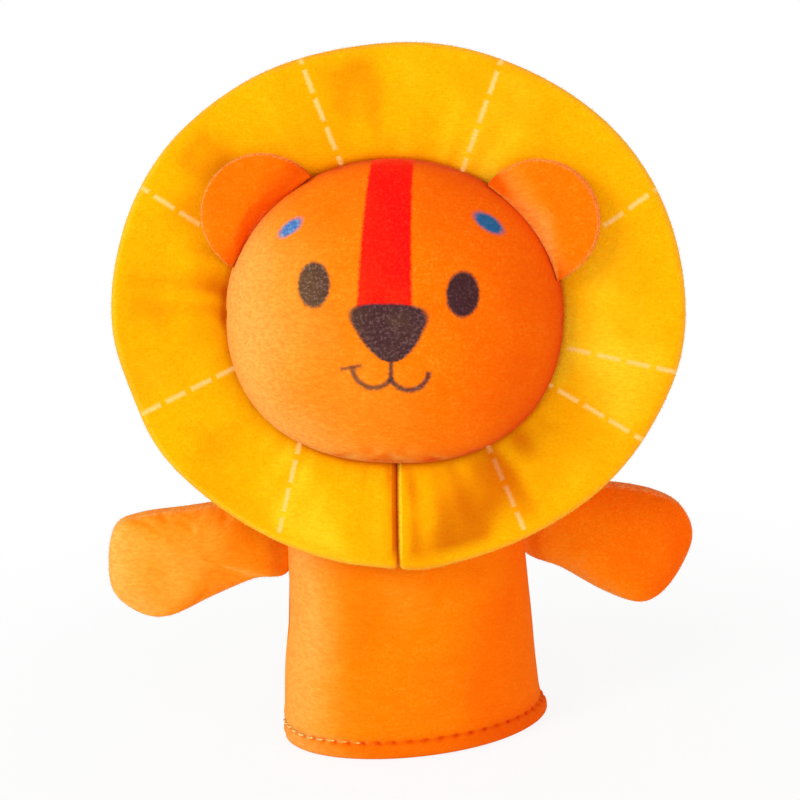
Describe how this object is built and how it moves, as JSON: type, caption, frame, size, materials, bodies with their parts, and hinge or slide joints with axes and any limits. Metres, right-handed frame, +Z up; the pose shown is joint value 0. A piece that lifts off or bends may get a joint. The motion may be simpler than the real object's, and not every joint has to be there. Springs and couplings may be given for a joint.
{
  "type": "finger puppet",
  "caption": "Plush lion finger puppet: an open cloth sleeve for a finger, with small arms and a stuffed head ringed by a flat, round mane.",
  "frame": {"origin": "centre of the bounding box, on the surface that the hem stands on", "axes": "+Z up along the sleeve, +X to the right as seen from the front, and the face looks towards -Y"},
  "size_m": [0.0888, 0.0326, 0.1039],
  "materials": {
    "orange_cloth": "short-pile cloth with a soft sheen",
    "yellow_cloth": "short-pile cloth with a soft sheen and pale printed dashes",
    "red_print": "print on short-pile cloth",
    "dark_print": "print on short-pile cloth",
    "blue_print": "print on short-pile cloth",
    "white_fibre": "loose fibre",
    "orange_thread": "spun thread"
  },
  "bodies": {
    "root": {"body_front": "orange_cloth", "body_back": "orange_cloth", "hem_thread": "orange_thread", "face_panel": "orange_cloth", "head_back": "orange_cloth", "head_filling": "white_fibre", "mane_front": "yellow_cloth", "mane_back": "yellow_cloth", "nose_print": "dark_print", "mouth_print": "dark_print", "stripe_print": "red_print", "eye_print_left": "dark_print", "brow_print_left": "blue_print", "ear_left_front": "orange_cloth", "arm_left_front": "orange_cloth", "ear_left_back": "orange_cloth", "arm_left_back": "orange_cloth", "arm_left_filling": "white_fibre", "eye_print_right": "dark_print", "brow_print_right": "blue_print", "ear_right_front": "orange_cloth", "arm_right_front": "orange_cloth", "ear_right_back": "orange_cloth", "arm_right_back": "orange_cloth", "arm_right_filling": "white_fibre"}
  },
  "joints": []
}
